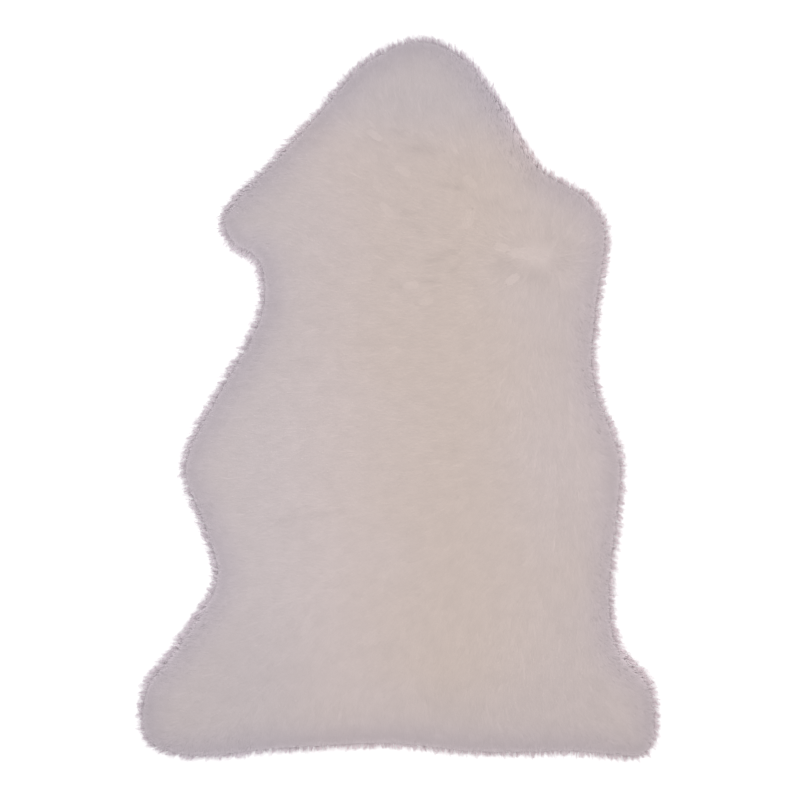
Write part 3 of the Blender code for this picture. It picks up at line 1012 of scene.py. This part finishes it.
def rim_paths(locks, lock, bend, ends, settings, rng):
    """The paths of the strands that belong to these locks, from root over bend to tip.

    Ends gives how far a strand travels, how far its tip is drawn to its lock's and how high it lies.
    """
    count = len(lock)
    strays = rng.uniform(-ROOT_STRAY, ROOT_STRAY, count)
    x, y = locks.place(locks.hearts[lock] + strays * locks.spacing)
    back = rng.uniform(*settings.root_range, count)
    x, y = x - locks.lie_x[lock] * back, y - locks.lie_y[lock] * back
    x, y = held_in(x, y, settings.root_range[0] * ROOTS_IN)
    layer = rng.uniform(0.0, 1.0, count) ** LAYER_BIAS
    travel, drawn, layer = ends(locks, lock, back, layer, settings, rng)
    straying = rng.normal(0.0, settings.straying / 2, count)
    lie_x, lie_y = turned(locks.lie_x[lock], locks.lie_y[lock], straying)
    tip_x = (x + lie_x * travel) * (1 - drawn) + locks.tip_x[lock] * drawn
    tip_y = (y + lie_y * travel) * (1 - drawn) + locks.tip_y[lock] * drawn
    tip_x, tip_y = held_in(tip_x, tip_y, -settings.hair_reach)
    points = []
    for share in (0.0, bend, 1.0):
        stray = rng.normal(0.0, BEND_STRAY, (2, count)) * (0.0 < share < 1.0)
        at_x = x + (tip_x - x) * share + stray[0]
        at_y = y + (tip_y - y) * share + stray[1]
        cover = np.interp(share, (0.0, 0.5, 1.0), (*settings.cover, settings.tip_cover))
        top = PELT.height(at_x, at_y) - cover
        at_z = settings.lowest + layer * np.maximum(top - settings.lowest, 0.0)
        points.append(np.column_stack([at_x, at_y, at_z]))
    return np.stack(points, axis=1)


# Settings

def length(name, description, default):
    return bpy.props.FloatProperty(
        name=name, description=description, default=default, unit="LENGTH", precision=4
    )


def number(name, description, default):
    return bpy.props.FloatProperty(name=name, description=description, default=default)


def amount(name, description, default):
    return bpy.props.IntProperty(name=name, description=description, default=default)


def span(name, description, default):
    return bpy.props.FloatVectorProperty(
        name=name, description=description, default=default, size=2, unit="LENGTH", precision=4
    )


def proportions(name, description, default):
    return bpy.props.FloatVectorProperty(name=name, description=description, default=default, size=2)


def colour(name, description, default):
    return bpy.props.FloatVectorProperty(
        name=name, description=description, default=default, subtype="COLOR", min=0.0, max=1.0
    )


class HideSettings(bpy.types.PropertyGroup):
    """The tanned skin under the wool."""

    thickness: length("Thickness", "Thickness of the skin", 0.002)
    inset: length("Inset", "How far the skin stops short of the wool's tips", 0.030)
    mesh_step: length("Mesh step", "Distance between the points of its mesh", 0.010)
    colour: colour("Colour", "Most of the suede", (0.66, 0.57, 0.46))
    patch: colour("Patches", "The browner patches of the suede", (0.58, 0.47, 0.36))


class WoolSettings(bpy.types.PropertyGroup):
    """The wool, from the dense underwool to the tips."""

    sink: length("Underwool depth", "How far the underwool lies below the wool's surface", 0.0018)
    inset: length("Underwool inset", "Where the underwool's surface ends, in from the outline", 0.0075)
    foot: length("Underwool foot", "How far the underwool's foot stands back on the floor", 0.0035)
    mesh_step: length("Mesh step", "Distance between the points of the underwool's mesh", 0.0037)
    lock_size: length("Lock size", "Distance between two locks of wool", 0.0115)
    lock_relief: length("Lock relief", "How far the underwool sinks between two locks", 0.0004)
    strands: amount("Strands", "About how many strands lie over the back", 108000)
    margin: length("Margin", "How far in from the outline the first roots lie", 0.009)
    ends: span("Ends", "Range of distances in from the outline to the outermost tips", (0.004, 0.014))
    strand_length: length("Strand length", "How long a strand is on the surface", 0.0240)
    strand_width: length("Strand width", "Width of a strand at its middle", 0.0020)
    shape: proportions("Shape", "Crest and keel of a strand, over half its width", (0.3, 1.5))
    root_depth: length("Root depth", "How far a strand's root lies below the surface", 0.0030)
    middle_depths: span("Middle depths", "How far a strand's middle lies below the surface", (0.0004, 0.0012))
    tip_depths: span("Tip depths", "How far a strand's tip lies below the surface", (0.0012, 0.0024))
    backbone: colour("Backbone", "Colour along the backbone", (0.657, 0.556, 0.513))
    flank: colour("Flanks", "Colour of the flanks", (0.657, 0.568, 0.557))
    # Painted shade: the edge colour is darker and cooler where the wool turns down away from the light.
    edge: colour("Shaded Edge", "Colour at the edge", (0.612, 0.532, 0.558))
    # Painted light: the cool tint stands in for cooler light on the left side; it also cools the neck.
    cool_tint: colour("Cool tint", "Multiplies the colours at the left and the neck", (0.943, 0.968, 1.0))
    tone: number("Tone", "How much lighter or darker single locks are", 0.05)
    sheen: number("Sheen", "Strength of the wool's soft sheen", 0.3)


class RimSettings(bpy.types.PropertyGroup):
    """The wool that spills over the edge of the hide."""

    strands: amount("Strands", "How many strands fill the edge", 18500)
    tips: amount("Tips", "How many strands make the pointed tips", 11000)
    hairs: amount("Hairs", "How many single hairs stand out", 9000)
    lock_size: length("Lock size", "Distance between two pointed locks along the edge", 0.0042)
    reach_range: span("Reach", "How far past the outline a pointed lock ends, if above 0", (-0.0030, 0.0042))
    root_range: span("Roots", "Range of distances from a strand's root out to the outline", (0.010, 0.026))
    fill_range: span("Ends", "How far past the outline a filling strand ends, if above 0", (-0.0150, -0.0058))
    splay: length("Splay", "How much further out the lowest filling strands end", 0.0050)
    cover: span("Cover", "Wool over a strand's root and over its middle", (0.0035, 0.0004))
    tip_cover: length("Tip cover", "Wool over a strand's tip", 0.0010)
    straying: number("Straying", "How far the locks point apart, in radians", 0.12)
    lowest: length("Lowest", "Height of the lowest strands over the floor", 0.0022)
    strand_width: length("Strand width", "Width of a filling strand at its middle", 0.0017)
    tip_width: length("Tip width", "Width of the strands that make the tips", 0.0007)
    hair_width: length("Hair width", "Width of a single hair", 0.00025)
    hair_reach: length("Hair reach", "How far the longest hairs stand out past the outline", 0.0100)
    shape: proportions("Shape", "Crest and keel of a strand, over half its width", (0.6, 0.6))


class StageSettings(bpy.types.PropertyGroup):
    """Floor, light and camera."""

    floor_size: length("Floor", "Width of the floor", 8.0)
    floor_colour: colour("Floor colour", "Colour of the floor", (0.94, 0.94, 0.94))
    floor_glow: number("Floor glow", "Light that the floor gives off", 0.26)
    sky: number("Sky", "Strength of the even light from all round", 0.33)
    lamp: number("Lamp", "Power of the large soft lamp, in watts", 71.0)
    view_height: length("View height", "Height of the camera's picture where the rug lies", 1.0526)
    view_x: length("View across", "Middle of the picture, across the rug", 0.0021)
    view_y: length("View along", "Middle of the picture, along the rug", -0.0018)
    lens: number("Lens", "Focal length in millimetres", 85.0)


# Operators

class SHEEPSKIN_OT_hide(bpy.types.Operator):
    """Lay out the hide, a thin sheet of suede a little smaller than the wool's outline"""

    bl_idname = "sheepskin.hide"
    bl_label = "Lay Out the Hide"

    def execute(self, context):
        settings = context.scene.sheepskin_hide
        plan, faces, border = plan_mesh(settings.inset, settings.mesh_step)
        top = np.column_stack([plan, np.full(len(plan), settings.thickness)])
        edge = np.column_stack([plan, np.zeros(len(plan))])
        # The underside is the same plan, with the border's points first.
        order = np.concatenate([border, np.setdiff1d(np.arange(len(plan)), border)])
        place = np.empty(len(plan), int)
        place[order] = np.arange(len(plan))
        points, triangles = closed_slab(top, faces, border, edge[order], place[faces])
        mesh = mesh_from_arrays("hide", points, triangles, smooth=False)
        hide = add_piece("hide", mesh, hide_material(settings))
        return {"FINISHED"}


class SHEEPSKIN_OT_underwool(bpy.types.Operator):
    """Fill the pelt with its dense underwool, which sinks a little between the locks"""

    bl_idname = "sheepskin.underwool"
    bl_label = "Grow the Underwool"

    def execute(self, context):
        settings = context.scene.sheepskin_wool
        plan, faces, border = plan_mesh(settings.inset, settings.mesh_step)
        x, y = plan[:, 0], plan[:, 1]
        lock_x, lock_y, away, number = nearest_lock(x, y, settings.lock_size, LOCK_SEED)
        lie_x, lie_y = PELT.comb(lock_x, lock_y)
        across = ((y - lock_y) * lie_x - (x - lock_x) * lie_y) / settings.strand_width
        along = ((x - lock_x) * lie_x + (y - lock_y) * lie_y) / settings.strand_length
        # The partings' painted shade and painted light, and their dents.
        tone, lift = parted(x, y)
        # A lock stands half the relief up in its middle, and falls off with the distance from it.
        relief = settings.lock_relief * (0.5 - 2.0 * (away / settings.lock_size) ** 2) + lift
        top = PELT.laid(x, y, settings.sink - relief)
        ground = context.scene.sheepskin_hide.thickness + UNDERWOOL_GAP
        out_x, out_y = PELT.outward(x[border], y[border])
        foot = plan[border] - np.column_stack([out_x, out_y]) * settings.foot
        inner_inset = settings.inset + settings.foot + UNDERWOOL_FLOOR_MARGIN
        inner = plan_mesh(inner_inset, UNDERWOOL_FLOOR_STEP)[0]
        under_plan = np.vstack([foot, inner])
        under = np.column_stack([under_plan, np.full(len(under_plan), ground)])
        points, triangles = closed_slab(top, faces, border, under, filled_border(foot, inner))
        mesh = mesh_from_arrays("wool_underwool", points, triangles)
        tones = np.concatenate([number - 0.5 + tone, np.zeros(len(under))])
        add_colour_masks(mesh, points, tones, np.full(len(points), UNDERWOOL_LEVEL))
        rest = np.zeros(len(under))
        add_fibres(mesh, *(np.concatenate([values, rest]) for values in (across, along, number)))
        add_plan_map(mesh, points)
        # The underwool is darkened with painted shade, for the shade that falls on it under the strands.
        material = wool_material("underwool", settings, UNDERWOOL_PAINTED_SHADE, in_strands=False)
        piece = add_piece("wool_underwool", mesh, material)
        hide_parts(PELT_NODE)
        return {"FINISHED"}


class SHEEPSKIN_OT_locks(bpy.types.Operator):
    """Comb the strands of wool over the back, drawn together into locks"""

    bl_idname = "sheepskin.locks"
    bl_label = "Comb the Locks"

    def execute(self, context):
        settings = context.scene.sheepskin_wool
        rng = np.random.default_rng(BACK_SEED)
        paths, tones, room = combed_strands(settings, rng)
        laid = [laid_lock(lock, rng) for lock in LAID_LOCKS]
        combed = len(paths)
        paths = np.concatenate([paths, *(lock_paths for lock_paths, _ in laid)])
        tones = np.concatenate([tones, *(lock_tones for _, lock_tones in laid)])
        widths = settings.strand_width * rng.uniform(*STRAND_WIDTHS, (len(paths), 1))
        widths[:combed, 0] *= np.sqrt(room)
        kept = np.concatenate([room > LEAST_ROOM, np.full(len(paths) - combed, True)])
        order = np.flatnonzero(kept)
        order = order[np.argsort(paths[kept, 0, 1], kind="stable")[::-1]]
        names = ("wool_neck", "wool_shoulders", "wool_loin", "wool_haunches")
        material = wool_material("wool locks", settings, painted_root_shade=1.0)
        add_strands(names, order, paths, widths, tones, settings.shape, material)
        return {"FINISHED"}


class SHEEPSKIN_OT_rim(bpy.types.Operator):
    """Let the wool of the edge spill outwards in fine pointed locks"""

    bl_idname = "sheepskin.rim"
    bl_label = "Spill the Rim"

    def execute(self, context):
        settings = context.scene.sheepskin_rim
        rng = np.random.default_rng(RIM_SEED)
        locks = RimLocks(settings, rng)
        material = wool_material("rim wool", context.scene.sheepskin_wool, painted_root_shade=1.0)
        fill, tips = ("wool_rim_left", "wool_rim_right"), ("wool_tips_left", "wool_tips_right")
        kinds = (
            # pieces, how far along its only bend is, where a strand ends, strands, width, tone; the tips' tone
            # is painted light that lifts them out of the shade low at the rim
            (fill, 0.5, filling_ends, settings.strands, settings.strand_width, 0.0),
            (tips, 0.72, pointed_ends, settings.tips, settings.tip_width, 0.4),
            (("wool_hairs",), 0.8, hair_ends, settings.hairs, settings.hair_width, 0.0),
        )
        for names, bend, ends, count, width, tone in kinds:
            lock = rng.integers(0, locks.count, count)
            paths = rim_paths(locks, lock, bend, ends, settings, rng)
            widths = width * rng.uniform(*RIM_WIDTHS, (count, 1))
            tones = tone + rng.uniform(-RIM_STRAND_TONES, RIM_STRAND_TONES, count)
            tones = tones + rng.uniform(-RIM_LOCK_TONES, RIM_LOCK_TONES, locks.count)[lock]
            order = np.argsort(lock, kind="stable")
            add_strands(names, order, paths, widths, tones, settings.shape, material)
        return {"FINISHED"}


class SHEEPSKIN_OT_stage(bpy.types.Operator):
    """Set the pale floor, the soft light and the camera that looks straight down"""

    bl_idname = "sheepskin.stage"
    bl_label = "Set the Stage"

    def execute(self, context):
        settings = context.scene.sheepskin_stage
        half = settings.floor_size / 2
        corners = [(x * half, y * half, -FLOOR_GAP) for x, y in ((-1, -1), (1, -1), (1, 1), (-1, 1))]
        mesh = mesh_from_arrays("floor", np.array(corners), np.array([[0, 1, 2], [0, 2, 3]]), smooth=False)
        material, _, shader = new_material("floor")
        finish = {
            "Base Color": opaque(settings.floor_colour),
            "Roughness": FLOOR_ROUGHNESS,
            "Emission Color": WHITE,
            "Emission Strength": settings.floor_glow,
        }
        set_inputs(shader, finish)
        mesh.materials.append(material)
        floor = bpy.data.objects.new("floor", mesh)
        context.scene.collection.objects.link(floor)

        world = bpy.data.worlds.new("soft studio")
        world.use_nodes = True
        sky = world.node_tree.nodes["Background"]
        set_inputs(sky, {"Color": WHITE, "Strength": settings.sky})
        context.scene.world = world
        light = bpy.data.lights.new("large lamp", "AREA")
        light.energy = settings.lamp
        light.size = LAMP_SIZE
        lamp = bpy.data.objects.new("large lamp", light)
        lamp.location = (0.0, 0.0, LAMP_HEIGHT)
        lamp.rotation_euler = Vector(lamp.location).to_track_quat("Z", "Y").to_euler()
        context.scene.collection.objects.link(lamp)

        camera = bpy.data.cameras.new("camera")
        camera.lens = settings.lens
        camera.clip_end = FURTHEST_VIEW
        distance = settings.view_height * settings.lens / camera.sensor_width
        view = bpy.data.objects.new("camera", camera)
        view.location = (settings.view_x, settings.view_y, PELT.rim_height + distance)
        context.scene.collection.objects.link(view)
        context.scene.camera = view
        context.scene.view_settings.view_transform = "Standard"
        return {"FINISHED"}


class SHEEPSKIN_PT_panel(bpy.types.Panel):
    """The steps that build the rug, and their sizes"""

    bl_idname = "SHEEPSKIN_PT_panel"
    bl_label = "Sheepskin Rug"
    bl_space_type = "VIEW_3D"
    bl_region_type = "UI"
    bl_category = "Sheepskin"

    def draw(self, context):
        for operator, settings in STEPS:
            self.layout.operator(operator)
            if settings:
                group = getattr(context.scene, settings)
                for name in group.bl_rna.properties.keys():
                    if name not in ("rna_type", "name"):
                        self.layout.prop(group, name)


SETTINGS = {
    "sheepskin_hide": HideSettings,
    "sheepskin_wool": WoolSettings,
    "sheepskin_rim": RimSettings,
    "sheepskin_stage": StageSettings,
}
STEPS = (
    ("sheepskin.underwool", "sheepskin_wool"),
    ("sheepskin.locks", None),
    ("sheepskin.rim", "sheepskin_rim"),
    ("sheepskin.hide", "sheepskin_hide"),
    ("sheepskin.stage", "sheepskin_stage"),
)
CLASSES = (
    *SETTINGS.values(),
    SHEEPSKIN_OT_underwool,
    SHEEPSKIN_OT_locks,
    SHEEPSKIN_OT_rim,
    SHEEPSKIN_OT_hide,
    SHEEPSKIN_OT_stage,
    SHEEPSKIN_PT_panel,
)


def register():
    for kind in CLASSES:
        bpy.utils.register_class(kind)
    for name, kind in SETTINGS.items():
        setattr(bpy.types.Scene, name, bpy.props.PointerProperty(type=kind))


def unregister():
    for name in SETTINGS:
        delattr(bpy.types.Scene, name)
    for kind in reversed(CLASSES):
        bpy.utils.unregister_class(kind)


def main():
    register()
    bpy.ops.sheepskin.underwool()
    bpy.ops.sheepskin.locks()
    bpy.ops.sheepskin.rim()
    bpy.ops.sheepskin.hide()
    bpy.ops.sheepskin.stage()


PELT = Pelt(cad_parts[PELT_NODE])

if __name__ == "__main__":
    main()
